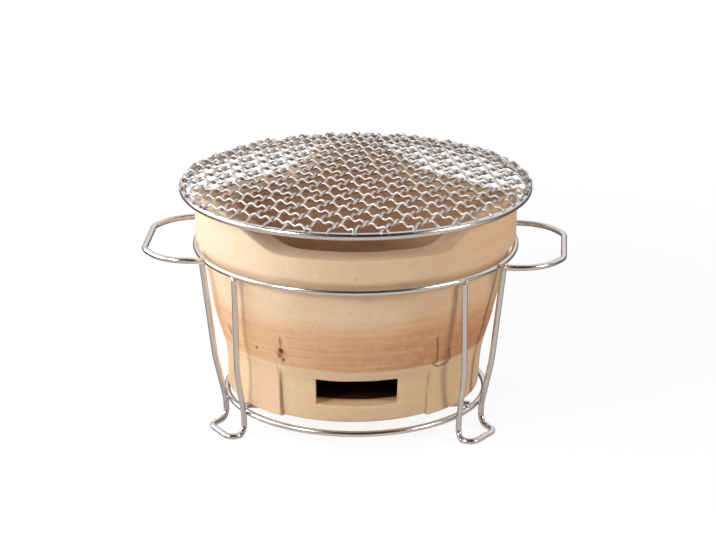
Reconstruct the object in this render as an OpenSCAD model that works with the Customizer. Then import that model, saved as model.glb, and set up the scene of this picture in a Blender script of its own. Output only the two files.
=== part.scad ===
// Round charcoal brazier: a carved earthenware fire bowl in a wire stand,
// with a crimped wire net on its rim. The floor is z = 0, the air vent faces -Y.

/* [Fire bowl] */
// Height of the bowl, from its flat bottom to the seats of the net
bowl_h = 178.5; // [165:0.5:190]
// Outer radius at the bottom
base_r = 109.3; // [102:0.1:111]
// Height above the bowl's bottom where the straight foot ends
foot_h = 34; // [28:1:42]
// How much the bowl widens from its bottom to the end of the straight foot
foot_flare = 2; // [1:0.1:4]
// Height above the bowl's bottom of the middle of the flank
flank_h = 66; // [58:1:76]
// How much it widens from there to the middle of the flank
flank_flare = 8.5; // [6:0.1:10]
// Height above the bowl's bottom of the shoulder under the neck
shoulder_h = 104; // [94:1:112]
// How much it widens from the middle of the flank to the shoulder
shoulder_flare = 8.1; // [6:0.1:10]
// How much it widens from the shoulder to the neck, inside the stand's top ring
neck_flare = 5; // [3:0.1:8]
// How much it widens from the neck to the straight band above it
band_flare = 4.4; // [2:0.1:6]
// Height over which the neck swells out to the band
swell_h = 8; // [6:0.5:12]
// Wall thickness at the rim
rim_wall = 21; // [16:0.5:26]
// Width of the small chamfers on the rim and the bottom edge
edge_chamfer = 1.6; // [0.5:0.1:3]

/* [Ash chamber] */
// Thickness of the bowl's floor, which is also the height of the vent's sill
floor_t = 15; // [12:0.5:20]
// Wall thickness at the bottom, round the ash chamber
foot_wall = 18.8; // [15:0.1:22]
// Height of the ash chamber, from its floor to the ledge of the grate
ash_h = 56; // [48:1:64]
// Width of the ledge that carries the charcoal grate
ledge_w = 12; // [8:0.5:14]

/* [Air vent] */
// Width of the vent
vent_w = 68; // [50:1:80]
// Height of the vent
vent_h = 23.5; // [12:0.5:28]
// How far the vent was cut to the right of the bowl's middle
vent_right = 1; // [-3:0.5:3]

/* [Recess in the front of the foot] */
// Width of the shallow recess in which the vent lies
recess_w = 124.4; // [104:0.2:140]
// Depth of the recess at the bowl's bottom
recess_low = 4; // [1.5:0.1:6]
// Depth of the recess where the straight foot ends; above that it runs out in the flank
recess_high = 2.4; // [1:0.1:4]

/* [Rim scoops] */
// Depth of the scoops between the three seats of the net
scoop_depth = 26.9; // [18:0.1:32]
// Half of the angle of the front scoop's level floor
front_scoop_half = 31; // [24:1:34]
// Half of the angle of each rear scoop's level floor
rear_scoop_half = 26; // [20:1:30]
// Azimuth of the rear scoops from the front
rear_scoop_azimuth = 127; // [124:1:130]
// Slope of the scoops' shoulders
scoop_slope = 30; // [26:1:50]

/* [Charcoal grate] */
// Thickness of the grate
grate_t = 16; // [10:1:22]
// Diameter of an air hole
grate_hole_d = 13; // [8:0.5:16]
// Rings of air holes round the middle one
grate_rings = 2; // [1:1:2]
// Distance from one ring of air holes to the next
grate_hole_step = 34; // [28:1:38]

/* [Net] */
// Distance from the bowl's band out to the middle of the net's ring
net_overhang = 9.7; // [6:0.1:14]
// Diameter of the ring's wire
net_ring_d = 6; // [5:0.5:8]
// Diameter of a net wire
net_wire_d = 2.2; // [1.6:0.1:2.6]
// Number of wires each way, one of them through the middle
net_wires = 17; // [13:2:19]
// Rise of the net's middle above its edge
net_rise = 8; // [2:0.5:12]
// Direction of the first set of wires
net_turn = -36; // [-90:1:90]

/* [Stand] */
// Diameter of the stand's wire
wire_d = 5; // [4:0.5:5.5]
// Height of the bottom ring's middle above the floor
bottom_ring_h = 20; // [17:0.5:26]
// Height of the top ring's middle above the floor
top_ring_h = 152.4; // [146:0.2:156]
// Turn of the stand under the bowl, seen from above
stand_turn = -3; // [-20:1:20]
// Distance of each cross bar from the middle of the bottom ring
bar_offset = 60; // [40:1:75]
// Turn of the cross bars on the bottom ring
bar_turn = 4; // [-8:1:8]

/* [Handles] */
// Distance from the top ring out to a handle's grip
handle_reach = 41.2; // [34:0.2:54]
// Half of the distance between a handle's two ends on the ring
handle_root_half = 62; // [56:0.5:68]
// Length of a handle's arm before its first bend
handle_arm = 37; // [32:1:42]
// Half of the length of the grip between the corners
grip_half = 33; // [28:1:38]
// Radius of the bend between arm and shoulder of a handle
shoulder_bend = 38; // [20:1:42]
// Radius of the bend at each end of the grip
grip_bend = 22; // [8:1:24]
// Turn of the left handle on the stand, seen from above
left_handle_turn = 0.7; // [-4:0.1:4]
// Turn of the right handle on the stand, seen from above
right_handle_turn = -2.6; // [-4:0.1:4]

/* [Foot loops] */
// Azimuth of the front feet where they meet the top ring
foot_top_azimuth = 55; // [50:1:62]
// Azimuth of the front feet where they pass the bottom ring
foot_ring_azimuth = 60.5; // [56:0.5:66]
// Azimuth of the front feet on the floor
foot_floor_azimuth = 56; // [50:1:66]
// Half of the width of a loop at the top ring
loop_top_half = 28.5; // [22:0.5:32]
// Half of the width of a loop at the bottom ring and on the floor
loop_foot_half = 19.3; // [15:0.5:24]
// Height of the soft knee in each leg
knee_h = 62; // [50:1:80]
// Distance that the knee stands out from a straight leg
knee_out = 3; // [1:0.5:5]
// Distance that the foot reaches out on the floor from the bottom ring
foot_kick = 17.5; // [12:0.5:24]
// Radius of the bends in the soles
sole_bend = 8; // [5:0.5:9]
// Radius of the soft bend at the knee
knee_bend = 120; // [60:5:160]

/* [Fits] */
// Gap between a loose piece and its seat
seat_gap = 0.3; // [0.2:0.05:0.6]
// Gap between the bowl's neck and the top ring
neck_gap = 1.6; // [1:0.1:3]
// Gap between the bowl's foot and the legs
foot_gap = 3.4; // [2:0.1:5]
// Gap between the grate's edge and the bowl
grate_gap = 1.5; // [1:0.1:3]
// Depth to which welded wires sink into each other
weld_sink = 0.5; // [0.3:0.1:0.8]
// Gap between crossing net wires
weave_gap = 0.3; // [0.2:0.05:0.5]

/* [Hidden] */
$fn = 96;
wire_fn = 32;
bent_sides = 12;
bend_step = 15;
wire_r = wire_d / 2;
cut_over = 8;
lot = 400;
bar_over_ring = 1.5;

// Heights, chained from the floor up
bar_z = bottom_ring_h + wire_d - weld_sink;
bowl_z = bar_z + wire_r + seat_gap;
rim_z = bowl_z + bowl_h;
ash_z = bowl_z + floor_t;
ledge_z = ash_z + ash_h;
grate_z = ledge_z + seat_gap;
scoop_z = rim_z - scoop_depth;

// Radii, chained from the bowl's bottom out
foot_r = base_r + foot_flare;
flank_r = foot_r + flank_flare;
shoulder_r = flank_r + shoulder_flare;
neck_r = shoulder_r + neck_flare;
band_r = neck_r + band_flare;
leg_ring_r = foot_r + foot_gap + wire_r;
bottom_ring_r = leg_ring_r - wire_d + weld_sink;
top_ring_r = neck_r + neck_gap + wire_r;
grip_r = top_ring_r + handle_reach;
net_ring_r = band_r + net_overhang;
ash_r = base_r - foot_wall;
chamber_r = band_r - rim_wall;
ledge_r = ash_r + ledge_w;
grate_r = ledge_r - grate_gap;
scoop_in_r = chamber_r / 2;
scoop_out_r = 2 * band_r;

// Net: 6-sided wires whose flats are as far apart as the round wire is thick
net_pitch = 2 * net_ring_r / (net_wires + 0.3);
net_half = (net_wires - 1) / 2;
crimp = (net_wire_d + weave_gap) / 2;
hex_r = net_wire_d / 2 / cos(30);
hook_r = (net_ring_d + net_wire_d) / 2 - weld_sink;

// The net rests on the rim with its wires: its ring hangs round the rim, a little lower
net_over_ring = hook_r + net_rise * (1 - pow(band_r / net_ring_r, 2)) - net_wire_d / 2;
net_ring_z = rim_z + seat_gap - net_over_ring;
net_edge_z = net_ring_z + hook_r + crimp;
hook_turns = [0, 50, 95];
over_ring = 3 * net_wire_d;
landing = 1.3;

function two_digits(n) = str(n < 10 ? "0" : "", n);
function wire_names(set) = [for (k = [1:net_wires]) str("net_wire_", set, "_", two_digits(k))];

// ---- shared geometry -----------------------------------------------------

function unit(v) = v / norm(v);

// A point at radius r and azimuth az, where azimuth 0 is the front and 90 is +X
function around(r, az, z = 0) = [r * sin(az), -r * cos(az), z];

// A smooth curve through points, without its last point
function curve_point(a, b, c, d, t) =
    0.5 * (2 * b + t * (c - a) + t * t * (2 * a - 5 * b + 4 * c - d)
        + t * t * t * (3 * b - a - 3 * c + d));
function smooth_curve(pts, steps) = let (n = len(pts)) [
    for (i = [0:n - 2], k = [0:steps - 1])
        curve_point(pts[max(i - 1, 0)], pts[i], pts[i + 1], pts[min(i + 2, n - 1)], k / steps)
];

// Everything between two azimuths, from z = 0 to height h
module sector(from, to, h) {
    linear_extrude(h)
        polygon([[0, 0], for (i = [0:4]) let (p = around(lot, from + (to - from) * i / 4)) [p.x, p.y]]);
}

// The straight rod of a wire between two points
module rod(a, b) {
    d = b - a;
    translate(a)
        rotate([0, acos(d.z / norm(d)), atan2(d.y, d.x)])
            cylinder(r = wire_r, h = norm(d), $fn = wire_fn);
}

// Points round the bend of a wire at corner b, between a and c, with bend radius r
function bend_points(a, b, c, r) =
    let (
        along = unit(b - a),
        next = unit(c - b),
        turn = acos(along * next),
        inward = unit(next - along * (along * next)),
        centre = b - along * r * tan(turn / 2) + inward * r,
        steps = ceil(turn / bend_step)
    )
    [for (i = [0:steps]) centre + r * (sin(turn * i / steps) * along - cos(turn * i / steps) * inward)];

// The middle line of a wire along corners, where bends[i] is the bend radius at corner i
function bent_line(corners, bends) =
    let (last = len(corners) - 1)
    [
        corners[0],
        for (i = [1:last - 1]) each bend_points(corners[i - 1], corners[i], corners[i + 1], bends[i]),
        corners[last]
    ];

// Directions along a line of points, and a side direction carried along it without twist
function directions(line) = let (last = len(line) - 1)
    [for (i = [0:last]) unit(line[min(i + 1, last)] - line[max(i - 1, 0)])];
function carried(side, dirs, i = 0) =
    let (now = unit(side - dirs[i] * (dirs[i] * side)))
    i == len(dirs) - 1 ? [now] : concat([now], carried(now, dirs, i + 1));

// A closed tube along a line of points, its sides all flat
module tube(line, r, sides, side) {
    dirs = directions(line);
    across = carried(side, dirs);
    last = len(line) - 1;
    points = [for (i = [0:last], k = [0:sides - 1])
        let (turn = 360 * k / sides)
        line[i] + r * (cos(turn) * across[i] + sin(turn) * cross(dirs[i], across[i]))];
    skin = [for (i = [0:last - 1], k = [0:sides - 1])
        let (a = sides * i + k, b = sides * i + (k + 1) % sides)
        each [[a, b, a + sides], [b, b + sides, a + sides]]];
    far = sides * last;
    ends = [for (k = [1:sides - 2]) each [[0, k + 1, k], [far, far + k, far + k + 1]]];
    polyhedron(points, concat(skin, ends), convexity = 4);
}

module bent_wire(corners, bends) tube(bent_line(corners, bends), wire_r, bent_sides, [0, 0, 1]);

module wire_ring(r, d, z) {
    translate([0, 0, z])
        rotate_extrude()
            translate([r, 0]) circle(d = d, $fn = wire_fn);
}

module in_stand() rotate([0, 0, stand_turn]) children();

// ---- fire bowl -----------------------------------------------------------

flank_points = [
    [base_r, bowl_z],
    [foot_r, bowl_z + foot_h],
    [flank_r, bowl_z + flank_h],
    [shoulder_r, bowl_z + shoulder_h],
    [neck_r, top_ring_h],
    [band_r, top_ring_h + swell_h]
];

module bowl_body() {
    flank = smooth_curve(flank_points, 5);
    rotate([0, 0, 90]) rotate_extrude()
        polygon(concat(
            [[0, bowl_z], [base_r - edge_chamfer, bowl_z], [base_r, bowl_z + edge_chamfer]],
            [for (p = flank) if (p.y > bowl_z + edge_chamfer) p],
            [[band_r, top_ring_h + swell_h], [band_r, rim_z - edge_chamfer], [band_r - edge_chamfer, rim_z],
             [chamber_r + edge_chamfer, rim_z], [chamber_r, rim_z - edge_chamfer], [ledge_r, ledge_z],
             [ash_r, ledge_z], [ash_r, ash_z], [0, ash_z]]));
}

// What a plane took off the front of the foot, between two upright sides
module front_recess() {
    difference() {
        translate([-recess_w / 2, -lot, bowl_z - cut_over]) cube([recess_w, lot, flank_h + cut_over]);
        rotate([0, 0, 90]) rotate_extrude()
            polygon([
                [0, bowl_z - 2 * cut_over],
                [base_r - recess_low, bowl_z - 2 * cut_over],
                [base_r - recess_low, bowl_z],
                [foot_r - recess_high, bowl_z + foot_h],
                [flank_r + recess_high, bowl_z + flank_h],
                [flank_r + recess_high, bowl_z + flank_h + cut_over],
                [0, bowl_z + flank_h + cut_over]
            ]);
    }
}

// A scoop through the rim: a level floor with a sloping shoulder at each end
module scoop(az, half) {
    rise = scoop_depth + cut_over;
    points = [
        for (top = [0, 1], side = [-1, 1], r = [scoop_in_r, scoop_out_r])
            around(r, az + side * half, scoop_z + top * rise)
                + top * side * rise / tan(scoop_slope) * around(1, az + side * half + 90)
    ];
    polyhedron(points, [[0, 1, 3, 2], [4, 6, 7, 5], [0, 4, 5, 1], [2, 3, 7, 6], [0, 2, 6, 4], [1, 5, 7, 3]]);
}

module fire_bowl() color([0.91, 0.78, 0.61]) {
    difference() {
        bowl_body();
        front_recess();
        scoop(0, front_scoop_half);
        scoop(rear_scoop_azimuth, rear_scoop_half);
        scoop(-rear_scoop_azimuth, rear_scoop_half);
        translate([vent_right - vent_w / 2, -foot_r - cut_over, ash_z]) cube([vent_w, foot_r - ash_r / 2, vent_h]);
    }
}

module charcoal_grate() color([0.80, 0.66, 0.50]) {
    translate([0, 0, grate_z]) difference() {
        cylinder(r = grate_r, h = grate_t);
        for (ring = [0:grate_rings], i = [0:max(6 * ring, 1) - 1])
            rotate([0, 0, 360 * i / max(6 * ring, 1)])
                translate([ring * grate_hole_step, 0, -cut_over])
                    cylinder(d = grate_hole_d, h = grate_t + 2 * cut_over, $fn = wire_fn);
    }
}

// ---- wire stand ----------------------------------------------------------

module top_ring() color([0.77, 0.77, 0.78]) wire_ring(top_ring_r, wire_d, top_ring_h);

module bottom_ring() color([0.77, 0.77, 0.78]) wire_ring(bottom_ring_r, wire_d, bottom_ring_h);

module rest_bar(y) color([0.75, 0.75, 0.77]) {
    half = sqrt(pow(bottom_ring_r, 2) - y * y) + bar_over_ring;
    in_stand() rotate([0, 0, bar_turn]) rod([-half, y, bar_z], [half, y, bar_z]);
}

// Half of a foot loop, from the top ring down to the middle of the sole
function leg(side, az_top, az_ring, az_floor) =
    let (
        at = function (r, half, az, z) around(r, az + side * asin(half / r), z),
        top_z = top_ring_h - wire_r + weld_sink,
        share = (knee_h - bottom_ring_h) / (top_z - bottom_ring_h),
        knee_half = loop_foot_half + (loop_top_half - loop_foot_half) * share,
        knee_r = leg_ring_r + (top_ring_r - leg_ring_r) * share + knee_out
    ) [
        at(top_ring_r + weld_sink, loop_top_half, az_top, top_z),
        at(knee_r, knee_half, az_ring + (az_top - az_ring) * share, knee_h),
        at(leg_ring_r, loop_foot_half, az_ring, bottom_ring_h),
        at(leg_ring_r - weld_sink, loop_foot_half, az_ring, wire_r),
        at(leg_ring_r + foot_kick, loop_foot_half, az_floor, wire_r)
    ];

module foot_loop(az_top, az_ring, az_floor) color([0.75, 0.75, 0.77]) {
    left = leg(-1, az_top, az_ring, az_floor);
    right = leg(1, az_top, az_ring, az_floor);
    bends = [0, knee_bend, knee_bend / 4, sole_bend, sole_bend];
    in_stand()
        bent_wire(
            concat(left, [for (i = [4:-1:0]) right[i]]),
            concat(bends, [for (i = [4:-1:0]) bends[i]]));
}

module foot_left() foot_loop(-foot_top_azimuth, -foot_ring_azimuth, -foot_floor_azimuth);
module foot_right() foot_loop(foot_top_azimuth, foot_ring_azimuth, foot_floor_azimuth);
module foot_rear() foot_loop(180, 180, 180);

module handle() color([0.78, 0.78, 0.80]) {
    root_x = sqrt(pow(top_ring_r, 2) - pow(handle_root_half, 2));
    half = [
        [root_x, handle_root_half, top_ring_h],
        [root_x + handle_arm, handle_root_half, top_ring_h],
        [grip_r, grip_half, top_ring_h]
    ];
    bends = [0, shoulder_bend, grip_bend];
    bent_wire(
        concat(half, [for (i = [2:-1:0]) [half[i].x, -half[i].y, half[i].z]]),
        concat(bends, [for (i = [2:-1:0]) bends[i]]));
}

module handle_left() in_stand() rotate([0, 0, 180 + left_handle_turn]) handle();
module handle_right() in_stand() rotate([0, 0, right_handle_turn]) handle();

// ---- net -----------------------------------------------------------------

module net_ring() color([0.80, 0.80, 0.82]) wire_ring(net_ring_r, net_ring_d, net_ring_z);

function dome_z(u, v) = net_edge_z + net_rise * (1 - (u * u + v * v) / pow(net_ring_r, 2));

// The hook of a wire over the ring: its place along the wire and its height,
// where turn is the angle round the ring's own wire from its top outwards
function hook(v, turn) =
    [sqrt(pow(net_ring_r + hook_r * sin(turn), 2) - v * v), net_ring_z + hook_r * cos(turn)];

// One half of a wire, from the middle out: the distance along it and the height.
// Wires of the two sets pass over and under each other at every crossing.
function wire_half(k, set) =
    let (
        v = k * net_pitch,
        reach = sqrt(pow(net_ring_r, 2) - v * v),
        last = ceil(reach / net_pitch) - 1,
        up = function (j) ((j + k + set) % 2 == 0 ? crimp : -crimp),
        near_ring = norm([last * net_pitch, v]) > net_ring_r - over_ring,
        crossings = [for (j = [0:last]) [j * net_pitch, dome_z(j * net_pitch, v) + up(j)]]
    )
    concat(
        crossings,
        near_ring
            ? [crossings[last] + [landing, 0], hook(v, hook_turns[1]), hook(v, hook_turns[2])]
            : [for (turn = hook_turns) hook(v, turn)]
    );

function net_wire_path(k, set) =
    let (half = wire_half(abs(k), set))
    concat(
        [for (i = [len(half) - 1:-1:1]) [-half[i].x, k * net_pitch, half[i].y]],
        [for (p = half) [p.x, k * net_pitch, p.y]]
    );

module net_wire(k, set) color([0.80, 0.80, 0.82])
    rotate([0, 0, net_turn + 90 * set]) tube(net_wire_path(k, set), hex_r, 6, [0, 1, 0]);

// ---- pieces --------------------------------------------------------------

fire_bowl();
charcoal_grate();
top_ring();
bottom_ring();
rest_bar(-bar_offset);  // rest_bar_front
rest_bar(bar_offset);  // rest_bar_rear
foot_left();
foot_right();
foot_rear();
handle_left();
handle_right();
net_ring();
for (k = [1:net_wires]) {
    net_wire(k - 1 - net_half, 0);
    net_wire(k - 1 - net_half, 1);
}
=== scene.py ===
import math

import bmesh
import bpy
import numpy as np
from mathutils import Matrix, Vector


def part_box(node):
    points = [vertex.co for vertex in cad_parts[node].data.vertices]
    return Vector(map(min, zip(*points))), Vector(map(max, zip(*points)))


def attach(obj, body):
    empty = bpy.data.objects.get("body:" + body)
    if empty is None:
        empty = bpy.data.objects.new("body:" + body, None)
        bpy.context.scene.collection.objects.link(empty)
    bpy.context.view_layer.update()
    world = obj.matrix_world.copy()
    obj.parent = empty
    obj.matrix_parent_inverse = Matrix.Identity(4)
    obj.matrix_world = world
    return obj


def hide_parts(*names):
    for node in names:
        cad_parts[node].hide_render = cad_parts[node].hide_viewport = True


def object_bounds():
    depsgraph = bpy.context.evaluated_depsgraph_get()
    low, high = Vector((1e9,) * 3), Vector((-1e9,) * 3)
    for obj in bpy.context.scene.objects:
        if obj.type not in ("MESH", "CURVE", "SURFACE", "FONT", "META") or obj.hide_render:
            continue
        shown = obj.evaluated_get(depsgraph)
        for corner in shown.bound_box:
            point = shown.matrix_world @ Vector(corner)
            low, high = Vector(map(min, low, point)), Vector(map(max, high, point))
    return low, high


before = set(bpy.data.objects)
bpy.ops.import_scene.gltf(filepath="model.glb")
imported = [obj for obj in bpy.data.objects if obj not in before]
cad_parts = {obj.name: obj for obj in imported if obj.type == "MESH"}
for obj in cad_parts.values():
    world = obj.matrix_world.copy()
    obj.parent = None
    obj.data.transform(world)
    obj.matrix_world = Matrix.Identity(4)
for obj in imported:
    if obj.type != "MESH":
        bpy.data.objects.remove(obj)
cad_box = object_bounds()

# A round charcoal brazier: a carved earthenware bowl in a wire stand, under a crimped wire net.
# Sizes are metres in the model's frame: the floor is z = 0 and the air vent faces -Y.
# An azimuth is degrees round the Z axis, from the front (-Y) towards +X.

# ---- sizes ------------------------------------------------------------------

# Fire bowl
FLANK = [(0.1093, 0.0273), (0.1113, 0.0613), (0.1198, 0.0933), (0.1279, 0.1313), (0.1329, 0.1524),
         (0.1373, 0.1604)]
# The plane's cut round the vent: it runs out in the flank at the last of its heights
RECESS = [(0.1053, 0.0273), (0.1089, 0.0613), (0.1222, 0.0933), (0.1600, 0.1000)]
RECESS_HALF = 0.0622
# The foot was carved a little off the middle, to the left: by how much at which heights
LEAN = [(0.0024, 0.0273), (0.0014, 0.065), (0.0014, 0.105), (0.0, 0.128)]
BOWL_Z, RIM_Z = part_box("fire_bowl")[0][2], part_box("fire_bowl")[1][2]
BAND_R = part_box("fire_bowl")[1][0]
CHAMBER_R = 0.1163
LEDGE_R = 0.1025
ASH_R = 0.0905
LEDGE_Z = 0.0983
ASH_Z = 0.0423
VENT_HALF = 0.0340
VENT_RIGHT = 0.0010
VENT_TOP = 0.0658
SCOOP_Z = 0.1789
# Each scoop: its middle, the half angle and slope of its left side, then of its right side
SCOOPS = [(0, 29.0, 27, 32.5, 33), (127, 26, 30, 26, 30), (-127, 26, 30, 26, 30)]
RIM_ROUND = 0.0018
VENT_ROUND = 0.0009
FOOT_ROUND = 0.0010

# Stand and net, all drawn wire
WIRE_D = 0.0050
NET_RING_D = 0.0060
NET_WIRE_D = 0.0022
NET_WIRES = 17
NET_TURN = -36
NET_CRIMP = 0.00125
WELD_SINK = 0.00032
STAND_TURN = -3
BAR_TURN = STAND_TURN + 4
BAR_OFFSET = 0.060
BAR_OVER = 0.0015


# ---- shared mesh work ---------------------------------------------------------

def around(radius, azimuth, z):
    """A point at a radius and an azimuth in degrees."""
    turn = math.radians(azimuth)
    return np.array([radius * math.sin(turn), -radius * math.cos(turn), z])


def turned(points, degrees):
    """Points turned round the Z axis."""
    c, s = math.cos(math.radians(degrees)), math.sin(math.radians(degrees))
    return np.asarray(points) @ np.array([[c, s, 0], [-s, c, 0], [0, 0, 1]])


def unit(vectors):
    return vectors / np.linalg.norm(vectors, axis=-1, keepdims=True)


def smooth_step(value, start, end):
    share = np.clip((value - start) / (end - start), 0, 1)
    return share * share * (3 - 2 * share)


class Grain:
    """A smooth random field in space, from -1 to 1, the same on each run."""

    SIZE = 24

    def __init__(self, seed):
        self.knots = np.random.default_rng(seed).uniform(-1, 1, (self.SIZE,) * 3)

    def at(self, points, lump):
        """The field at the points, with lumps of about that size."""
        place = np.asarray(points) / lump
        cell = np.floor(place).astype(int)
        share = place - cell
        share = share * share * (3 - 2 * share)
        total = 0
        for corner in np.ndindex(2, 2, 2):
            weight = np.prod(np.where(corner, share, 1 - share), axis=-1)
            index = (cell + corner) % self.SIZE
            total = total + weight * self.knots[index[..., 0], index[..., 1], index[..., 2]]
        return total


def piece(name, verts, faces, material, body, nodes, values=None):
    """A smooth mesh that stands for CAD nodes and rides on a body."""
    mesh = bpy.data.meshes.new(name)
    mesh.from_pydata(verts, [], faces)
    for value_name, (kind, data) in (values or {}).items():
        field = "vector" if kind == "FLOAT_VECTOR" else "value"
        mesh.attributes.new(value_name, kind, "POINT").data.foreach_set(field, np.ravel(data))
    made = bmesh.new()
    made.from_mesh(mesh)
    bmesh.ops.recalc_face_normals(made, faces=made.faces)
    made.to_mesh(mesh)
    made.free()
    mesh.polygons.foreach_set("use_smooth", [True] * len(mesh.polygons))
    mesh.materials.append(material)
    made = bpy.data.objects.new(name, mesh)
    bpy.context.scene.collection.objects.link(made)
    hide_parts(*nodes)
    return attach(made, body)


# ---- shared wire work -----------------------------------------------------------

def bent_line(corners, bends, step=6):
    """The middle line of a wire along corners, with an arc of radius bends[i] at corner i."""
    line = [corners[0]]
    for before, corner, after, radius in zip(corners, corners[1:], corners[2:], bends[1:]):
        along, onward = unit(corner - before), unit(after - corner)
        turn = math.acos(np.clip(along @ onward, -1, 1))
        inward = unit(onward - along * (along @ onward))
        centre = corner - along * radius * math.tan(turn / 2) + inward * radius
        steps = max(2, math.ceil(math.degrees(turn) / step))
        for angle in np.linspace(0, turn, steps + 1):
            line.append(centre + radius * (math.sin(angle) * along - math.cos(angle) * inward))
    line.append(corners[-1])
    return np.array(line)


def rounded_ends(line, radius, rounding):
    """The line with rings set in at its two ends, and the wire's radius at each point."""
    angles = np.radians([18, 40, 65, 90])
    depths = rounding * (1 - np.cos(angles))
    head = [line[0] + unit(line[1] - line[0]) * (depth - depths[0]) for depth in depths]
    tail = [line[-1] + unit(line[-2] - line[-1]) * (depth - depths[0]) for depth in depths]
    radii = np.concatenate([radius * np.sin(angles), np.full(len(line) - 2, radius),
                            radius * np.sin(angles[::-1])])
    return np.array(head + list(line[1:-1]) + tail[::-1]), radii


def wire_mesh(line, radii, sides, closed=False):
    """A round wire along a line: its points, faces, and each point's place in the drawn wire."""
    count = len(line)
    if closed:
        dirs = unit(np.roll(line, -1, 0) - np.roll(line, 1, 0))
    else:
        dirs = unit(np.gradient(line, axis=0))
    across = [unit(np.cross(dirs[0], [0.3, 0.2, 0.93]))]
    for direction in dirs[1:]:
        across.append(unit(across[-1] - direction * (direction @ across[-1])))
    across = np.array(across)
    angles = np.arange(sides) * 2 * math.pi / sides
    cosines, sines = np.cos(angles)[None, :, None], np.sin(angles)[None, :, None]
    radii = np.broadcast_to(radii, count)[:, None, None]
    section = across[:, None] * cosines + np.cross(dirs, across)[:, None] * sines
    points = (line[:, None] + radii * section).reshape(-1, 3)
    lengths = np.concatenate([[0], np.cumsum(np.linalg.norm(np.diff(line, axis=0), axis=1))])
    drawn = np.empty((count, sides, 3))
    drawn[..., 0], drawn[..., 1] = (radii * cosines)[..., 0], (radii * sines)[..., 0]
    drawn[..., 2] = lengths[:, None]
    faces = []
    for i in range(count if closed else count - 1):
        a, b = i * sides, (i + 1) % count * sides
        faces += [(a + k, a + (k + 1) % sides, b + (k + 1) % sides, b + k) for k in range(sides)]
    if not closed:
        faces += [tuple(range(sides)), tuple(range((count - 1) * sides, count * sides))]
    return points, faces, drawn.reshape(-1, 3)


def weld_bead(centre, radii, seed):
    """A small lump of weld: its points, faces and places."""
    grain = Grain(seed)
    steps, sides = 8, 14
    points = []
    for tilt in np.linspace(0.25, math.pi - 0.25, steps):
        for turn in np.arange(sides) * 2 * math.pi / sides:
            level = math.sin(tilt)
            points.append([level * math.cos(turn), level * math.sin(turn), math.cos(tilt)])
    points = np.array(points)
    points = np.asarray(centre) + points * radii * (1 + 0.12 * grain.at(points, 0.7))[:, None]
    faces = [(i * sides + k, i * sides + (k + 1) % sides, (i + 1) * sides + (k + 1) % sides,
              (i + 1) * sides + k) for i in range(steps - 1) for k in range(sides)]
    faces += [tuple(range(sides)), tuple(range((steps - 1) * sides, steps * sides))]
    return points, faces, points


def wire_piece(name, parts, material, body, nodes):
    """One piece made of wires and weld beads."""
    verts, faces, drawn = [], [], []
    for points, part_faces, places in parts:
        start = sum(len(v) for v in verts)
        verts.append(points)
        faces += [tuple(start + i for i in face) for face in part_faces]
        drawn.append(places)
    return piece(name, np.concatenate(verts).tolist(), faces, material, body, nodes,
                 {"drawn": ("FLOAT_VECTOR", np.concatenate(drawn))})


# ---- shaders ----------------------------------------------------------------------

def tone(red, green, blue):
    """A linear colour from the 0 to 255 values of a colour picker."""
    return tuple((v / 255 / 12.92 if v < 10.3 else ((v / 255 + 0.055) / 1.055) ** 2.4)
                 for v in (red, green, blue)) + (1.0,)


class Value:
    """An output of a node. Arithmetic on it adds Math nodes."""

    def __init__(self, finish, socket):
        self.finish, self.socket = finish, socket

    def also(self, out):
        """Another output of the same node."""
        return Value(self.finish, self.socket.node.outputs[out])

    def math(self, operation, *others):
        return self.finish.node("ShaderNodeMath", {"operation": operation},
                                dict(enumerate((self, *others))))

    def step(self, start, end):
        """0 before start, 1 after end, and smooth between them."""
        return self.finish.node("ShaderNodeMapRange", {"interpolation_type": "SMOOTHSTEP"},
                                {"Value": self, "From Min": start, "From Max": end})

    def __add__(self, other):
        return self.math("ADD", other)

    def __sub__(self, other):
        return self.math("SUBTRACT", other)

    def __rsub__(self, other):
        return (self * -1) + other

    def __mul__(self, other):
        return self.math("MULTIPLY", other)

    __radd__, __rmul__ = __add__, __mul__


class Finish:
    """The nodes of a material or of the world."""

    def __init__(self, owner):
        owner.use_nodes = True
        self.owner, self.tree = owner, owner.node_tree
        self.tree.nodes.clear()

    def node(self, kind, settings=None, sockets=None, out=0):
        """A new node: its settings are made first, then its sockets' values and links."""
        made = self.tree.nodes.new(kind)
        for name, setting in (settings or {}).items():
            setattr(made, name, setting)
        for name, value in (sockets or {}).items():
            if isinstance(value, Value):
                self.tree.links.new(value.socket, made.inputs[name])
            else:
                made.inputs[name].default_value = value
        return Value(self, made.outputs[out] if len(made.outputs) else None)

    def place(self):
        """Where a point is on the piece."""
        return self.node("ShaderNodeTexCoord", out="Object")

    def stretched(self, vector, scales):
        return self.node("ShaderNodeVectorMath", {"operation": "MULTIPLY"}, {0: vector, 1: scales})

    def noise(self, vector, scale, detail=2.0, rough=0.5):
        return self.node("ShaderNodeTexNoise", {}, {"Vector": vector, "Scale": scale, "Detail": detail,
                                                    "Roughness": rough})

    def mix(self, share, first, second, blend="MIX"):
        """A mix of two colours."""
        return self.node("ShaderNodeMix", {"data_type": "RGBA", "blend_type": blend},
                         {0: share, 6: first, 7: second}, out=2)

    def bump(self, height, distance, strength):
        return self.node("ShaderNodeBump", {}, {"Height": height, "Distance": distance, "Strength": strength})

    def surface(self, **sockets):
        """The Principled shader as the material's surface."""
        shader = self.node("ShaderNodeBsdfPrincipled", {},
                           {name.replace("_", " "): value for name, value in sockets.items()})
        return self.output(shader)

    def output(self, shader, kind="Material"):
        self.node(f"ShaderNodeOutput{kind}", {}, {"Surface": shader})
        return self.owner


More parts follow.
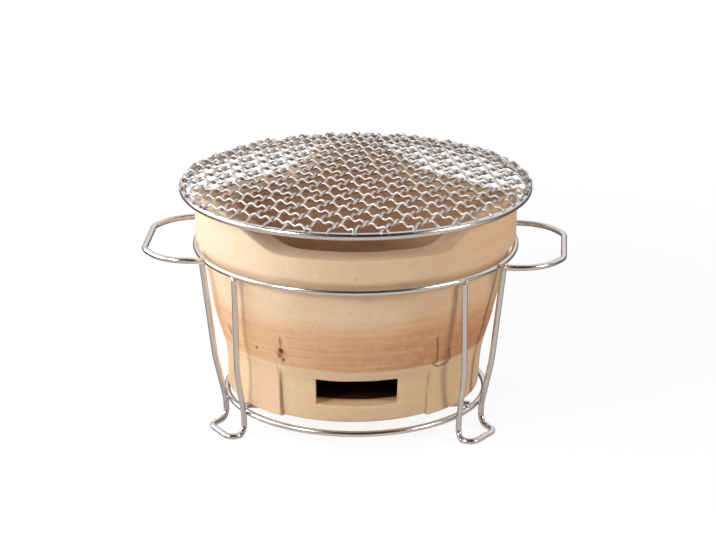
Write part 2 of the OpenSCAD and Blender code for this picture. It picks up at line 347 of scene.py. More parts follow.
# Clay, as cut from the block: pale layers over a salmon one
CREAM = tone(232, 199, 166)
CREAM_PALE = tone(240, 214, 186)
# Cream in painted shade, for the right side where the light is weaker
CREAM_SHADED = tone(226, 186, 146)
CREAM_LOW = tone(230, 196, 156)
SALMON = tone(220, 160, 106)
# Deeper salmon: for the streaks, and as painted shade on the band's right side
SALMON_DEEP = tone(192, 123, 85)
LAYER_LINE = tone(198, 150, 108)
# Knots' colour, also used for a painted shadow line down the recess's left side
KNOT_AND_SHADE = tone(112, 58, 40)
SPECK = tone(150, 112, 80)
# Brown: the grate's own colour; inside the bowl partly its own tone and partly painted shade
BROWN_AND_SHADE = tone(204, 164, 130)
BROWN_AND_SHADE_DARK = tone(184, 144, 112)
# Painted shade, near black, for the ash chamber and deep in the vent
DEEP_SHADE = tone(62, 40, 28)
BAND_TOP, BAND_FULL, BAND_LOW = 0.130, 0.104, 0.0755


def clay_finish(name):
    """Carved earthenware: layers of the ground it was dug from, fine grain, knots, and a browner inside that
    is partly its own tone and partly painted shade; more painted shade tans the right side, darkens the rim
    top and is near black in the ash chamber and vent.
    """
    clay = Finish(bpy.data.materials.new(name))
    place = clay.place()
    x = clay.node("ShaderNodeSeparateXYZ", {}, {0: place})
    z = x.also("Z")
    patches = clay.noise(place, 14, 3)
    mottle = clay.noise(place, 160, 5, 0.65)
    grain = clay.noise(place, 900, 3, 0.7)
    layers = clay.noise(clay.stretched(place, (7, 7, 330)), 1, 4, 0.65)
    streaks = clay.noise(clay.stretched(place, (22, 22, 900)), 1, 3, 0.7)
    height = z + (patches - 0.5) * 0.008 + (layers - 0.5) * 0.004
    ragged = z + (mottle - 0.5) * 0.004 + (patches - 0.5) * 0.003
    band = height.step(BAND_TOP, BAND_FULL) * ragged.step(BAND_LOW - 0.0016, BAND_LOW + 0.0016)
    # Painted shade: the right side is tanner, its salmon deeper and its band stronger, where the light is
    # weaker
    side = x.step(-0.11, 0.12)
    cream = clay.mix(patches.step(0.35, 0.65), CREAM, CREAM_PALE)
    cream = clay.mix(side * 0.6, cream, CREAM_SHADED)
    cream = clay.mix(ragged.step(BAND_LOW, BAND_LOW - 0.004) * 0.7, cream, CREAM_LOW)
    salmon = clay.mix(side * height.step(BAND_TOP, BAND_LOW), SALMON, SALMON_DEEP)
    colour = clay.mix(band * (0.6 + 0.3 * side + 0.2 * (streaks - 0.5)), cream, salmon)
    colour = clay.mix(layers.step(0.50, 0.72) * (0.10 + 0.40 * band), colour, LAYER_LINE)
    colour = clay.mix(layers.step(0.48, 0.28) * (0.12 + 0.18 * band), colour, CREAM_PALE)
    colour = clay.mix(streaks.step(0.52, 0.75) * (0.10 + 0.45 * band), colour, SALMON_DEEP)
    specks = clay.noise(place, 420, 2).step(0.68, 0.74)
    colour = clay.mix(specks * 0.4, colour, SPECK)
    colour = clay.mix(mottle.step(0.35, 0.75) * 0.22, colour, CREAM_PALE)
    colour = clay.mix(grain.step(0.45, 0.75) * 0.16, colour, SPECK)
    # Knots, nicks and chisel scars, and one painted shadow line down the left side of the recess
    stain_and_shade = clay.node("ShaderNodeAttribute", {"attribute_name": "stain_and_shade"}, out="Fac")
    colour = clay.mix(stain_and_shade, colour, KNOT_AND_SHADE)
    # Browner inside, partly the clay's own tone and partly painted shade; painted shade near black in the ash
    # chamber and deep in the vent
    shade_and_brown = clay.node("ShaderNodeAttribute", {"attribute_name": "shade_and_brown"}, out="Fac")
    brown = clay.mix(patches.step(0.3, 0.7), BROWN_AND_SHADE_DARK, BROWN_AND_SHADE)
    colour = clay.mix(shade_and_brown.step(0, 0.5), colour, brown)
    colour = clay.mix(shade_and_brown.step(0.6, 1.0), colour, DEEP_SHADE)
    relief = layers * 0.0003 + mottle * 0.0005 + grain * 0.00016 - specks * 0.0002
    return clay.surface(Base_Color=colour, Roughness=0.86 + 0.1 * mottle, Specular_IOR_Level=0.25,
                        Normal=clay.bump(relief, 1.0, 0.8))


def steel_finish(name, base, polish):
    """Drawn stainless wire: fine lines along it and a little unevenness in its polish."""
    steel = Finish(bpy.data.materials.new(name))
    drawn = steel.node("ShaderNodeAttribute", {"attribute_name": "drawn"}, out="Vector")
    lines = steel.noise(steel.stretched(drawn, (2400, 2400, 30)), 1, 3, 0.6)
    cloud = steel.noise(drawn, 60, 3)
    colour = steel.mix(cloud.step(0.3, 0.7) * 0.5, base, tuple(0.9 * v for v in base[:3]) + (1,))
    return steel.surface(Base_Color=colour, Metallic=1.0, Roughness=polish + 0.12 * lines * cloud,
                         Normal=steel.bump(lines, 0.00002, 0.5))


CLAY = clay_finish("carved_clay")
STEEL = steel_finish("drawn_steel", (0.80, 0.765, 0.75, 1), 0.20)
NET_STEEL = steel_finish("crimped_steel", (0.67, 0.64, 0.625, 1), 0.36)


# ---- fire bowl ----------------------------------------------------------------------

# Azimuths of the columns that are moved onto the sides of the vent and of the recess
VENT_EDGE = 18.6
RECESS_EDGE = 33.8
# Share of brown on the rim top and inner wall: painted shade on the rim top, partly own tone and partly
# painted shade on the wall
RIM_SHADE_AND_BROWN = 0.5
# Rows of the bottom and its rounded edge, which take no marks
BOTTOM_ROWS = 7
# Radius in the softened corners where a scoop's floor meets its shoulders
SCOOP_SOFT = 0.0022
# Knots and nicks in the clay, and (the fourth) a painted shadow line down the recess's left side: azimuth,
# height, half width, half height, depth, darkness of its stain, which is painted shadow for the fourth
MARKS = [(-31.0, 0.0895, 0.0027, 0.0036, 0.0015, 1.0), (-31.8, 0.0848, 0.0030, 0.0024, 0.0008, 0.75),
         (-30.8, 0.0868, 0.0062, 0.0080, 0.0002, 0.32), (-34.4, 0.0510, 0.0010, 0.0300, 0.0003, 0.42),
         (-30.5, 0.0815, 0.0018, 0.0020, 0.0010, 0.85), (-29.8, 0.0875, 0.0016, 0.0013, 0.0005, 0.45),
         (-30.5, 0.0985, 0.0022, 0.0050, 0.0006, 0.5), (-43.5, 0.0867, 0.0019, 0.0018, 0.0009, 0.8),
         (-60.6, 0.0916, 0.0030, 0.0060, 0.0004, 0.5), (19.0, 0.0459, 0.0026, 0.0024, 0.0018, 0.15),
         (30.2, 0.1823, 0.0016, 0.0010, 0.0006, 0.5), (150.0, 0.0900, 0.0020, 0.0030, 0.0010, 0.7),
         (-118.0, 0.1130, 0.0012, 0.0016, 0.0008, 0.5), (98.0, 0.0690, 0.0014, 0.0018, 0.0008, 0.5)]
# The cut that a chisel left beside the recess, as azimuths and heights
SCARS = [[(33.9, 0.0995), (35.4, 0.0860), (36.4, 0.0760), (33.8, 0.0755), (37.1, 0.0708), (40.4, 0.0715),
          (42.9, 0.0734), (44.0, 0.0760)],
         [(41.4, 0.0869), (42.6, 0.0810), (43.8, 0.0745)]]
SCAR_R = 0.113
SCAR_HALF = 0.0011
SCAR_DEPTH = 0.0008


def flank_curve(steps=24):
    """Radius and height along the outer wall, from the bottom to the band."""
    knots = np.array([FLANK[0]] + FLANK + [FLANK[-1]])
    line = []
    for a, b, c, d in zip(knots, knots[1:], knots[2:], knots[3:]):
        for t in np.arange(steps) / steps:
            line.append(0.5 * (2 * b + t * (c - a) + t * t * (2 * a - 5 * b + 4 * c - d)
                               + t ** 3 * (3 * b - a - 3 * c + d)))
    return np.array(line + [FLANK[-1]])


FLANK_LINE = flank_curve()


def outer_radius(azimuth, z):
    """Radius of the outer wall, with the recess in the front of its foot."""
    radius = np.interp(z, FLANK_LINE[:, 1], FLANK_LINE[:, 0])
    aside = np.where(np.abs(azimuth) < 90, np.abs(radius * np.sin(np.radians(azimuth))), 1)
    planed = np.interp(z, *np.array(RECESS).T[::-1])
    inside = 1 - smooth_step(aside, RECESS_HALF - 0.0004, RECESS_HALF + 0.0004)
    depth = np.maximum(radius - planed, 0) * inside
    lean = np.interp(z, *np.array(LEAN).T[::-1])
    return radius - depth - lean * np.sin(np.radians(azimuth))


def inner_radius(z):
    """Radius of the fire chamber's wall."""
    share = np.clip((z - LEDGE_Z) / (RIM_Z - LEDGE_Z), 0, 1)
    return LEDGE_R + (CHAMBER_R - LEDGE_R) * share


def top_height(azimuth, radius):
    """Height of the rim at an azimuth and a radius: level seats between the scoops."""
    top = np.full(np.broadcast(azimuth, radius).shape, RIM_Z)
    for middle, left_half, left_slope, right_half, right_slope in SCOOPS:
        away = (azimuth - middle + 180) % 360 - 180
        half = np.where(away < 0, left_half, right_half)
        slope = np.where(away < 0, left_slope, right_slope)
        over = np.radians(np.clip(np.abs(away) - half, -5, 60))
        climb = radius * np.sin(over) * np.tan(np.radians(slope))
        climb = SCOOP_SOFT * np.logaddexp(0, climb / SCOOP_SOFT)
        top = -SCOOP_SOFT * np.logaddexp(-top / SCOOP_SOFT, -(SCOOP_Z + climb) / SCOOP_SOFT)
    return np.minimum(top, RIM_Z)


def bowl_columns():
    """Azimuths of the bowl's columns: even ones, and close ones at the vent, the recess and the marks."""
    even = np.arange(-180, 180, 0.6)
    fine = [side * edge for side in (-1, 1) for edge in
            (VENT_EDGE, VENT_EDGE + 0.1, VENT_EDGE + 0.22, VENT_EDGE + 0.4, VENT_EDGE + 0.7)]
    fine += [side * (RECESS_EDGE + step) for side in (-1, 1)
             for step in (-0.5, -0.22, -0.08, 0.08, 0.22, 0.5)]
    close = [side * a for side in (-1, 1) for a in np.arange(28, 47, 0.3)]
    kept = list(fine)
    for azimuth in close + list(even):
        if np.min(np.abs((np.array(kept) - azimuth + 180) % 360 - 180)) > 0.14:
            kept.append(azimuth)
    return np.sort(np.array(kept))


def on_edges(azimuth, vent_radius, foot_radius=0.113):
    """Azimuths moved so that the columns at the vent and at the recess follow their upright sides."""
    sides = np.array([VENT_RIGHT - VENT_HALF, VENT_RIGHT + VENT_HALF])
    vent = np.degrees(np.arcsin(sides / vent_radius))
    recess = np.degrees(np.arcsin(RECESS_HALF / foot_radius))
    return np.interp(azimuth, [-180, -46, -RECESS_EDGE, -VENT_EDGE, VENT_EDGE, RECESS_EDGE, 46, 180],
                     [-180, -46, -recess, *vent, recess, 46, 180])


def arc_steps(count):
    """Sines and cosines of a quarter turn, without its ends."""
    angles = np.linspace(0, math.pi / 2, count + 2)[1:-1]
    return list(zip(np.sin(angles), np.cos(angles)))


def bowl_rows(azimuth):
    """Rows of the bowl from the middle of its bottom, over the rim, to the middle of the ash floor.
    Each is (azimuths, radii, heights, share of brown and painted shade), and the second and third results
    are the rows of the outer and the inner wall that bound the vent."""
    rows = []
    ones = np.ones_like(azimuth)

    def row(radius, z, shade_and_brown=0.0, azimuths=azimuth):
        rows.append((azimuths * ones, radius * ones, z * ones, shade_and_brown * ones))
        return len(rows) - 1

    azimuth, even = on_edges(azimuth, outer_radius(0, ASH_Z), outer_radius(180, BOWL_Z)), azimuth
    foot = outer_radius(azimuth, BOWL_Z)
    for share in (0.25, 0.6, 0.9):
        row(share * (foot - FOOT_ROUND), BOWL_Z)
    row(foot - FOOT_ROUND, BOWL_Z)
    for sine, cosine in arc_steps(3):
        row(foot - FOOT_ROUND * (1 - sine), BOWL_Z + FOOT_ROUND * (1 - cosine))
    azimuth = even
    rounding = [0.00012, 0.00028, 0.0005, VENT_ROUND]
    vent_rows = list(np.linspace(ASH_Z, VENT_TOP, 12))
    below = list(np.linspace(BOWL_Z + FOOT_ROUND, ASH_Z - 0.002, 7)) + [ASH_Z - r for r in rounding[::-1]]
    above = ([VENT_TOP + r for r in rounding] + [0.0674] + list(np.arange(0.0683, 0.1005, 0.0009))
             + list(np.arange(0.102, 0.1695, 0.0019)))

    def wall_row(z):
        vent_radius = outer_radius(0, min(max(z, ASH_Z), VENT_TOP))
        edges = on_edges(azimuth, vent_radius, outer_radius(180, min(z, 0.080)))
        return row(outer_radius(edges, z), z, azimuths=edges)

    for z in below:
        wall_row(z)
    outer_vent = [wall_row(z) for z in vent_rows]
    for z in above:
        wall_row(z)
    start, outer_top = 0.170, top_height(azimuth, BAND_R) - RIM_ROUND
    for share in np.linspace(0, 1, 15):
        row(BAND_R, start + share * (outer_top - start))
    for sine, cosine in arc_steps(4):
        radius = BAND_R - RIM_ROUND * (1 - cosine)
        row(radius, top_height(azimuth, radius) - RIM_ROUND * (1 - sine))
    inner_edge = inner_radius(top_height(azimuth, CHAMBER_R))
    # Painted shade on the rim top under the net: darkest on the high seats, least down in the scoops
    above_scoop = smooth_step(top_height(azimuth, CHAMBER_R), SCOOP_Z + 0.002, RIM_Z)
    top_shade = RIM_SHADE_AND_BROWN * (0.3 + 0.7 * above_scoop)
    for share in np.linspace(0, 1, 11):
        radius = BAND_R - RIM_ROUND + share * (inner_edge + RIM_ROUND - (BAND_R - RIM_ROUND))
        row(radius, top_height(azimuth, radius), top_shade * smooth_step(share, 0.05, 0.5))
    for sine, cosine in arc_steps(4):
        row(inner_edge + RIM_ROUND * (1 - sine),
            top_height(azimuth, inner_edge) - RIM_ROUND * (1 - cosine), top_shade)
    inner_top = top_height(azimuth, inner_edge) - RIM_ROUND
    # The inner wall: browner, partly its own tone and partly painted shade
    for share in np.linspace(0, 1, 32):
        z = inner_top + share * (LEDGE_Z - inner_top)
        row(inner_radius(z), z, RIM_SHADE_AND_BROWN * (0.5 + 0.5 * smooth_step(share, 0, 0.2)))
    # The ledge and the ash chamber: painted shade, near black
    for share in (0.3, 0.7, 1.0):
        row(LEDGE_R + share * (ASH_R - LEDGE_R), LEDGE_Z, 0.8)
    inside = on_edges(azimuth, ASH_R)
    for z in list(np.arange(LEDGE_Z - 0.0025, VENT_TOP + 0.001, -0.003)):
        row(ASH_R, z, 1.0, inside)
    inner_vent = [row(ASH_R, z, 1.0, inside) for z in vent_rows[::-1]][::-1]
    for share in (0.95, 0.8, 0.55, 0.25):
        row(share * ASH_R, ASH_Z, 1.0, inside)
    return rows, outer_vent, inner_vent


def scar_distance(azimuth, z, line):
    """Distance on the wall from a line of azimuths and heights."""
    place = np.stack([np.radians(azimuth) * SCAR_R, z], -1)
    nearest = np.full(z.shape, 1.0)
    for a, b in zip(line, line[1:]):
        a, b = (np.array([math.radians(p[0]) * SCAR_R, p[1]]) for p in (a, b))
        share = np.clip(((place - a) @ (b - a)) / ((b - a) @ (b - a)), 0, 1)[..., None]
        nearest = np.minimum(nearest, np.linalg.norm(place - a - share * (b - a), axis=-1))
    return nearest


def fire_bowl():
    """The carved bowl as one closed skin, with its vent, scooped rim, knots and nicks."""
    columns = bowl_columns()
    rows, outer_vent, inner_vent = bowl_rows(columns)
    azimuth, radius, z, shade_and_brown = (np.array(part) for part in zip(*rows))
    grain = [Grain(seed) for seed in (11, 12, 13, 14)]

    # Marks and the vent's rounded edge sink into the outer wall
    walls = np.zeros(radius.shape, bool)
    walls[BOTTOM_ROWS:] = True
    walls &= shade_and_brown < 0.01
    sink, stain_and_shade = np.zeros_like(radius), np.zeros_like(radius)
    for middle, height, half_w, half_h, depth, dark in MARKS:
        across = np.radians((azimuth - middle + 180) % 360 - 180) * radius / half_w
        away = np.hypot(across, (z - height) / half_h)
        away = away * (1 + 0.25 * grain[0].at(np.stack([across, z / half_h, 0 * z], -1), 0.8))
        sink += depth * (1 - smooth_step(away, 0.2, 1.2))
        stain_and_shade = np.maximum(stain_and_shade, dark * (1 - smooth_step(away, 0.4, 1.25)))
    for line in SCARS:
        away = scar_distance(azimuth, z, line)
        sink += SCAR_DEPTH * (1 - smooth_step(away, 0.0002, SCAR_HALF))
        stain_and_shade = np.maximum(stain_and_shade, 0.7 * (1 - smooth_step(away, 0.0003, SCAR_HALF * 1.1)))
    front = np.abs(azimuth) < 60
    aside = np.maximum(np.abs(radius * np.sin(np.radians(azimuth)) - VENT_RIGHT) - VENT_HALF, 0)
    level = np.maximum(np.maximum(ASH_Z - z, z - VENT_TOP), 0)
    reach = np.clip(np.hypot(aside, level), 0, VENT_ROUND)
    sink += front * (VENT_ROUND - np.sqrt(VENT_ROUND ** 2 - (VENT_ROUND - reach) ** 2))
    radius = radius - walls * sink
    stain_and_shade = stain_and_shade * walls

    turn = np.radians(azimuth)
    points = np.stack([radius * np.sin(turn), -radius * np.cos(turn), z], -1)
    uneven = sum(share * np.stack([g.at(points, lump) for g in grain[:3]], -1)
                 for lump, share in ((0.055, 0.00035), (0.016, 0.00016), (0.006, 0.00009)))
    level_bottom = smooth_step(points[..., 2], BOWL_Z, BOWL_Z + 0.004)
    points = points + uneven * level_bottom[..., None]
    points[..., 2] = np.clip(points[..., 2], BOWL_Z, RIM_Z)
    reach = np.hypot(points[..., 0], points[..., 1])
    points[..., :2] *= np.minimum(1, BAND_R / np.maximum(reach, 1e-6))[..., None]

    count, wide = radius.shape
    verts = points.reshape(-1, 3).tolist()
    left = int(np.argmin(np.abs(columns + VENT_EDGE)))
    right = int(np.argmin(np.abs(columns - VENT_EDGE)))

    def index(i, j):
        return i * wide + j % wide

    def in_vent(i, j):
        on_wall = outer_vent[0] <= i < outer_vent[-1] or inner_vent[-1] <= i < inner_vent[0]
        return on_wall and left <= j < right

    faces = [(index(i, j), index(i, j + 1), index(i + 1, j + 1), index(i + 1, j))
             for i in range(count - 1) for j in range(wide) if not in_vent(i, j)]
    for i in (0, count - 1):
        verts.append([0, 0, float(z[i, 0])])
        faces += [(index(i, j), index(i, j + 1), len(verts) - 1) for j in range(wide)]

    # The vent's four sides, from its mouth to the ash chamber
    last = len(outer_vent) - 1
    loop = ([(0, j) for j in range(left, right)] + [(i, right) for i in range(last)]
            + [(last, j) for j in range(right, left, -1)] + [(i, left) for i in range(last, 0, -1)])
    depths = [0.04, 0.12, 0.25, 0.4, 0.55, 0.7, 0.85]
    rings = [[index(outer_vent[i], j) for i, j in loop]]
    for depth in depths:
        ring = []
        for i, j in loop:
            near = np.array(verts[index(outer_vent[i], j)])
            far = np.array(verts[index(inner_vent[i], j)])
            spot = near + depth * (far - near)
            rough = 0.00025 * np.array([g.at(spot[None], 0.006)[0] for g in grain[:3]])
            verts.append((spot + rough * 4 * depth * (1 - depth)).tolist())
            ring.append(len(verts) - 1)
        rings.append(ring)
    rings.append([index(inner_vent[i], j) for i, j in loop])
    for near, far in zip(rings, rings[1:]):
        for k in range(len(loop)):
            after = (k + 1) % len(loop)
            faces.append((near[k], near[after], far[after], far[k]))

    extra = len(verts) - stain_and_shade.size
    # Painted shade deepening towards the far end of the vent; of the two middle points, the bottom's stays
    # clay and the ash floor's is painted near black
    tunnel_depth = np.repeat(depths, len(loop))
    stain_and_shade = np.concatenate([stain_and_shade.ravel(), np.zeros(extra)])
    shade_and_brown = np.concatenate([shade_and_brown.ravel(), [0, 1], 0.6 * smooth_step(tunnel_depth, 0.5, 1.2)])
    return piece("carved_bowl", verts, faces, CLAY, "bowl", ["fire_bowl"],
                 {"stain_and_shade": ("FLOAT", stain_and_shade), "shade_and_brown": ("FLOAT", shade_and_brown)})


fire_bowl()


# ---- charcoal grate ---------------------------------------------------------------

def grate_finish():
    """Fired clay, browned by the charcoal, with pale specks of ash."""
    clay = Finish(bpy.data.materials.new("browned_clay"))
    place = clay.place()
    cloud = clay.noise(place, 30, 4)
    fine = clay.noise(place, 500, 3, 0.6)
    colour = clay.mix(cloud.step(0.3, 0.7), BROWN_AND_SHADE_DARK, BROWN_AND_SHADE)
    colour = clay.mix(fine.step(0.55, 0.75) * 0.35, colour, tone(176, 158, 140))
    return clay.surface(Base_Color=colour, Roughness=0.9 + 0.08 * fine, Specular_IOR_Level=0.2,
                        Normal=clay.bump(fine * 0.0004 + cloud * 0.0006, 1.0, 0.7))


def charcoal_grate():
    """The grate with its edges worn round."""
    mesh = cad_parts["charcoal_grate"].data.copy()
    mesh.materials.clear()
    mesh.materials.append(grate_finish())
    worn = bpy.data.objects.new("worn_grate", mesh)
    bpy.context.scene.collection.objects.link(worn)
    soften = worn.modifiers.new("worn edges", "BEVEL")
    soften.width, soften.segments, soften.limit_method = 0.0012, 3, "ANGLE"
    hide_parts("charcoal_grate")
    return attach(worn, "grate")


charcoal_grate()


# ---- stand ----------------------------------------------------------------------------

def ring_of(node, wire_d):
    """Radius and height of a ring's middle line, from its CAD node."""
    low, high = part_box(node)
    return high[0] - wire_d / 2, (low[2] + high[2]) / 2


TOP_RING_R, TOP_RING_Z = ring_of("top_ring", WIRE_D)
BOTTOM_RING_R, BOTTOM_RING_Z = ring_of("bottom_ring", WIRE_D)
NET_RING_R, NET_RING_Z = ring_of("net_ring", NET_RING_D)
WIRE_R = WIRE_D / 2
LEG_R = BOTTOM_RING_R + WIRE_D - 0.0005
WIRE_SIDES = 24


def ring_wire(radius, z, wire_d, steps=220):
    """A closed ring of round wire."""
    turns = np.arange(steps) * 360 / steps
    return wire_mesh(np.array([around(radius, a, z) for a in turns]), wire_d / 2, WIRE_SIDES, closed=True)


def stand_ring(name, node, radius, z):
    wire_piece(name, [ring_wire(radius, z, WIRE_D)], STEEL, "stand", [node])


stand_ring("upper_hoop", "top_ring", TOP_RING_R, TOP_RING_Z)
stand_ring("lower_hoop", "bottom_ring", BOTTOM_RING_R, BOTTOM_RING_Z)


def rest_bar(name, node, y):
    half = math.sqrt(BOTTOM_RING_R ** 2 - y * y) + BAR_OVER
    z = (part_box(node)[0][2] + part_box(node)[1][2]) / 2
    line = np.array([[x, y, z] for x in np.linspace(-half, half, 12)])
    line, radii = rounded_ends(turned(line, BAR_TURN), WIRE_R, 0.0012)
    wire_piece(name, [wire_mesh(line, radii, WIRE_SIDES)], STEEL, "stand", [node])


rest_bar("front_cross_bar", "rest_bar_front", -BAR_OFFSET)
rest_bar("rear_cross_bar", "rest_bar_rear", BAR_OFFSET)

# Foot loops
LOOP_TOP_HALF, LOOP_FOOT_HALF = 0.0285, 0.0193
KNEE_Z, KNEE_OUT = 0.062, 0.003
FOOT_KICK = 0.0175
LEG_TOP_Z = TOP_RING_Z - WIRE_R + 0.0005
LEG_BENDS = [0, 0.120, 0.030, 0.008, 0.008]


def leg(side, top_azimuth, ring_azimuth, floor_azimuth):
    """Corners of half a foot loop, from the upper hoop down to the sole."""
    share = (KNEE_Z - BOTTOM_RING_Z) / (LEG_TOP_Z - BOTTOM_RING_Z)
    knee_half = LOOP_FOOT_HALF + (LOOP_TOP_HALF - LOOP_FOOT_HALF) * share
    knee_r = LEG_R + (TOP_RING_R - LEG_R) * share + KNEE_OUT

    def at(radius, half, azimuth, z):
        return around(radius, azimuth + side * math.degrees(math.asin(half / radius)), z)

    return [at(TOP_RING_R + 0.0005, LOOP_TOP_HALF, top_azimuth, LEG_TOP_Z),
            at(knee_r, knee_half, ring_azimuth + (top_azimuth - ring_azimuth) * share, KNEE_Z),
            at(LEG_R, LOOP_FOOT_HALF, ring_azimuth, BOTTOM_RING_Z),
            at(LEG_R - 0.0005, LOOP_FOOT_HALF, ring_azimuth, WIRE_R),
            at(LEG_R + FOOT_KICK, LOOP_FOOT_HALF, floor_azimuth, WIRE_R)]


def foot_loop(name, node, top_azimuth, ring_azimuth, floor_azimuth):
    """One bent wire with a bead of weld at each of its two ends."""
    left = leg(-1, top_azimuth, ring_azimuth, floor_azimuth)
    right = leg(1, top_azimuth, ring_azimuth, floor_azimuth)
    line = turned(bent_line(left + right[::-1], LEG_BENDS + LEG_BENDS[::-1]), STAND_TURN)
    line, radii = rounded_ends(line, WIRE_R, 0.0014)
    parts = [wire_mesh(line, radii, WIRE_SIDES)]
    for k, end in enumerate((line[0], line[-1])):
        outward = unit(end * [1, 1, 0])
        parts.append(weld_bead(end + outward * 0.0006 + [0, 0, 0.0004], (0.0024, 0.0024, 0.0015), 31 + k))
    wire_piece(name, parts, STEEL, "stand", [node])


foot_loop("left_foot_loop", "foot_left", -55, -60.5, -56)
foot_loop("right_foot_loop", "foot_right", 55, 60.5, 56)
foot_loop("rear_foot_loop", "foot_rear", 180, 180, 180)

# Handles
HANDLE_REACH = 0.04108
HANDLE_ROOT_HALF, HANDLE_ARM, GRIP_HALF = 0.062, 0.037, 0.033
HANDLE_BENDS = [0, 0.038, 0.022]


def handle(name, node, turn):
    """A flat loop of wire welded to the outside of the upper hoop."""
    root_x = math.sqrt(TOP_RING_R ** 2 - HANDLE_ROOT_HALF ** 2)
    half = [np.array([root_x, HANDLE_ROOT_HALF, TOP_RING_Z]),
            np.array([root_x + HANDLE_ARM, HANDLE_ROOT_HALF, TOP_RING_Z]),
            np.array([TOP_RING_R + HANDLE_REACH, GRIP_HALF, TOP_RING_Z])]
    other = [corner * [1, -1, 1] for corner in half[::-1]]
    line = turned(bent_line(half + other, HANDLE_BENDS + HANDLE_BENDS[::-1]), turn)
    parts = [wire_mesh(line, WIRE_R, WIRE_SIDES)]
    for k, end in enumerate((line[0], line[-1])):
        outward = unit(line[1] - line[0])
        parts.append(weld_bead(end + outward * 0.0030, (0.0025, 0.0025, 0.0022), 41 + k))
    wire_piece(name, parts, STEEL, "stand", [node])


handle("left_handle", "handle_left", 180 + STAND_TURN + 0.7)
handle("right_handle", "handle_right", STAND_TURN - 2.6)

# ---- net --------------------------------------------------------------------------------

wire_piece("net_hoop", [ring_wire(NET_RING_R, NET_RING_Z, NET_RING_D)], STEEL, "net",
           ["net_ring"])
NET_PITCH = 2 * NET_RING_R / (NET_WIRES + 0.3)
HOOK_R = (NET_RING_D + NET_WIRE_D) / 2 - WELD_SINK
DOME_TOP = cad_box[1][2] - NET_WIRE_D / 2 - NET_CRIMP - 0.00002
DOME_EDGE = NET_RING_Z + HOOK_R + NET_CRIMP
# Where a hook ends, in degrees round the ring's own wire from its top outwards
HOOK_END = 48
WAVES_PER_PITCH = 3


def net_line(k, set_number):
    """The middle line of the net wire k pitches from the middle, laid along X."""
    v = k * NET_PITCH
    reach = math.sqrt(NET_RING_R ** 2 - v * v)
    over = 1 if (k + set_number) % 2 == 0 else -1
    along = np.linspace(0, reach, int(reach / 0.0009) + 1)
    dome = DOME_EDGE + (DOME_TOP - DOME_EDGE) * (1 - (along ** 2 + v * v) / NET_RING_R ** 2)
    wave = over * NET_CRIMP * np.cos(WAVES_PER_PITCH * math.pi * along / NET_PITCH)
    ring_top = NET_RING_Z + HOOK_R
    near = smooth_step(reach - along, 0.0035, 0.0)
    z = (dome + wave) * (1 - near) + ring_top * near
    half = [(u, v, height) for u, height in zip(along, z)]
    for turn in np.radians(np.arange(12, HOOK_END + 1, 9)):
        outward = 1 + HOOK_R * math.sin(turn) / NET_RING_R
        half.append((reach * outward, v * outward, NET_RING_Z + HOOK_R * math.cos(turn)))
    return np.array([(-u, w, height) for u, w, height in half[:0:-1]] + half)


def net_wires():
    for set_number, letter in enumerate("ab"):
        for n in range(1, NET_WIRES + 1):
            line = turned(net_line(n - (NET_WIRES + 1) // 2, set_number), NET_TURN + 90 * set_number)
            line, radii = rounded_ends(line, NET_WIRE_D / 2, 0.0007)
            wire_piece(f"woven_wire_{letter}_{n:02d}", [wire_mesh(line, radii, 8)], NET_STEEL, "net",
                       [f"net_wire_{letter}_{n:02d}"])


net_wires()

# ---- studio -------------------------------------------------------------------------------

FLOOR_HALF = 6.0
# How much of the lamps' light the camera sees on the floor, and how much of that is taken off its white
FLOOR_SHOWN = 0.16
FLOOR_LIT = 0.65
AMBIENT = 0.18
# What gloss reflects: the room in front, the wall behind low down and higher up, and the floor
GLOSS_FRONT = (0.025, 0.025, 0.025, 1)
GLOSS_WALL_LOW = (0.12, 0.12, 0.12, 1)
GLOSS_WALL = (0.85, 0.85, 0.85, 1)
GLOSS_FLOOR = (0.64, 0.60, 0.58, 1)
GLOSS_FLOOR_BEHIND = (0.12, 0.11, 0.11, 1)


def studio_floor():
    """A white sweep: it shows white by its own colour, and keeps the object's shadow."""
    mesh = bpy.data.meshes.new("studio_floor")
    mesh.from_pydata([(x, y, 0) for x, y in ((-FLOOR_HALF, -FLOOR_HALF), (FLOOR_HALF, -FLOOR_HALF),
                                              (FLOOR_HALF, FLOOR_HALF), (-FLOOR_HALF, FLOOR_HALF))],
                     [], [(0, 1, 2, 3)])
    paper = Finish(bpy.data.materials.new("white_paper"))
    ray = paper.node("ShaderNodeLightPath", out="Is Camera Ray")
    behind = paper.node("ShaderNodeSeparateXYZ", {}, {0: paper.place()}).also("Y").step(-0.16, 0.10)
    away = paper.node("ShaderNodeVectorMath", {"operation": "LENGTH"}, {0: paper.place()}, out="Value")
    lit = paper.node("ShaderNodeBsdfDiffuse", {}, {"Color": (0.82, 0.82, 0.82, 1)})
    shown = paper.node("ShaderNodeBsdfDiffuse", {}, {"Color": (FLOOR_SHOWN,) * 3 + (1,)})
    white = 1 - FLOOR_LIT * FLOOR_SHOWN * away.step(1.3, 0.4)
    glow = paper.node("ShaderNodeEmission", {}, {"Color": (1, 1, 1, 1), "Strength": white})
    shown = paper.node("ShaderNodeAddShader", {}, {0: shown, 1: glow})
    gloss = paper.mix(behind, GLOSS_FLOOR, GLOSS_FLOOR_BEHIND)
    gloss = paper.node("ShaderNodeEmission", {}, {"Color": gloss})
    lit = paper.node("ShaderNodeMixShader", {}, {0: ray.also("Is Glossy Ray"), 1: lit, 2: gloss})
    mesh.materials.append(paper.output(paper.node("ShaderNodeMixShader", {}, {0: ray, 1: lit, 2: shown})))
    floor = bpy.data.objects.new("studio_floor", mesh)
    bpy.context.scene.collection.objects.link(floor)


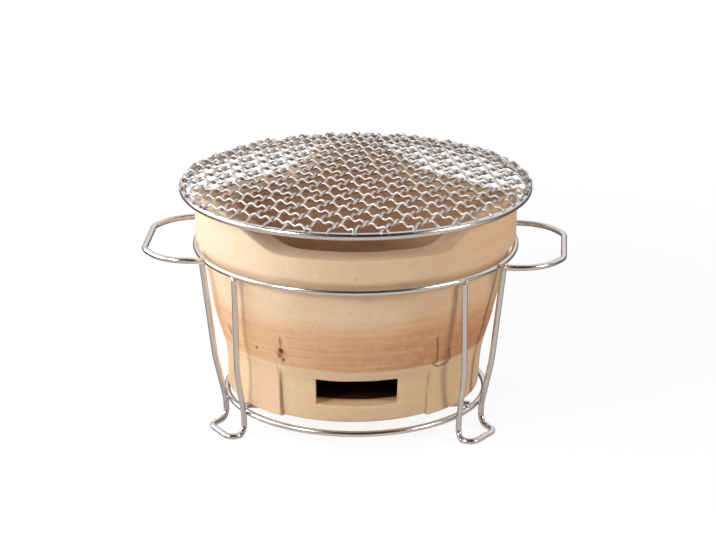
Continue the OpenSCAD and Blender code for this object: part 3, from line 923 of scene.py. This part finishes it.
def studio_air():
    """White for the camera; for gloss a dark room in front and a bright wall behind."""
    world = bpy.data.worlds.new("studio")
    bpy.context.scene.world = world
    air = Finish(world)
    toward = air.node("ShaderNodeTexCoord", out="Generated")
    x = air.node("ShaderNodeSeparateXYZ", {}, {0: toward})
    height, behind = x.also("Z"), x.also("Y").step(-0.1, 0.25)
    wall = air.mix(height.step(0.04, 0.14), GLOSS_WALL_LOW, GLOSS_WALL)
    gloss = air.mix(behind, GLOSS_FRONT, wall)
    ray = air.node("ShaderNodeLightPath", out="Is Camera Ray")
    colour = air.mix(ray.also("Is Glossy Ray"), (AMBIENT, AMBIENT, AMBIENT, 1), gloss)
    colour = air.mix(ray, colour, (1, 1, 1, 1))
    air.output(air.node("ShaderNodeBackground", {}, {"Color": colour, "Strength": 1.0}), "World")


def soft_lamp(name, azimuth, elevation, distance, width, height, power, colour):
    """A softbox that faces the object."""
    lamp = bpy.data.lights.new(name, "AREA")
    lamp.shape, lamp.size, lamp.size_y = "RECTANGLE", width, height
    lamp.energy, lamp.color = power, colour
    made = bpy.data.objects.new(name, lamp)
    level = distance * math.cos(math.radians(elevation))
    made.location = around(level, azimuth, 0.10 + distance * math.sin(math.radians(elevation)))
    made.rotation_euler = (math.radians(90 - elevation), 0, math.radians(azimuth))
    bpy.context.scene.collection.objects.link(made)
    return made


studio_floor()
studio_air()
soft_lamp("left_window", -95, 20, 1.3, 1.2, 0.9, 11.5, (1.0, 0.99, 0.98))
soft_lamp("left_key", -48, 28, 1.3, 0.26, 0.36, 7.2, (1.0, 1.0, 0.98))
soft_lamp("right_key", 62, 25, 1.4, 0.35, 0.50, 7.4, (1.0, 0.94, 0.87))

# Camera, at the height and distance from which the object was photographed
CAMERA_TARGET = (0.00196, 0.0, 0.1249)
CAMERA_DISTANCE = 1.750
CAMERA_TILT = 18.87
CAMERA_LENS = 101.93


def camera():
    lens = bpy.data.cameras.new("camera")
    lens.lens, lens.sensor_width = CAMERA_LENS, 36
    made = bpy.data.objects.new("camera", lens)
    tilt = math.radians(CAMERA_TILT)
    made.location = (CAMERA_TARGET[0], CAMERA_TARGET[1] - CAMERA_DISTANCE * math.cos(tilt),
                     CAMERA_TARGET[2] + CAMERA_DISTANCE * math.sin(tilt))
    made.rotation_euler = (math.pi / 2 - tilt, 0, 0)
    bpy.context.scene.collection.objects.link(made)
    bpy.context.scene.camera = made


camera()
bpy.context.scene.view_settings.view_transform = "Standard"
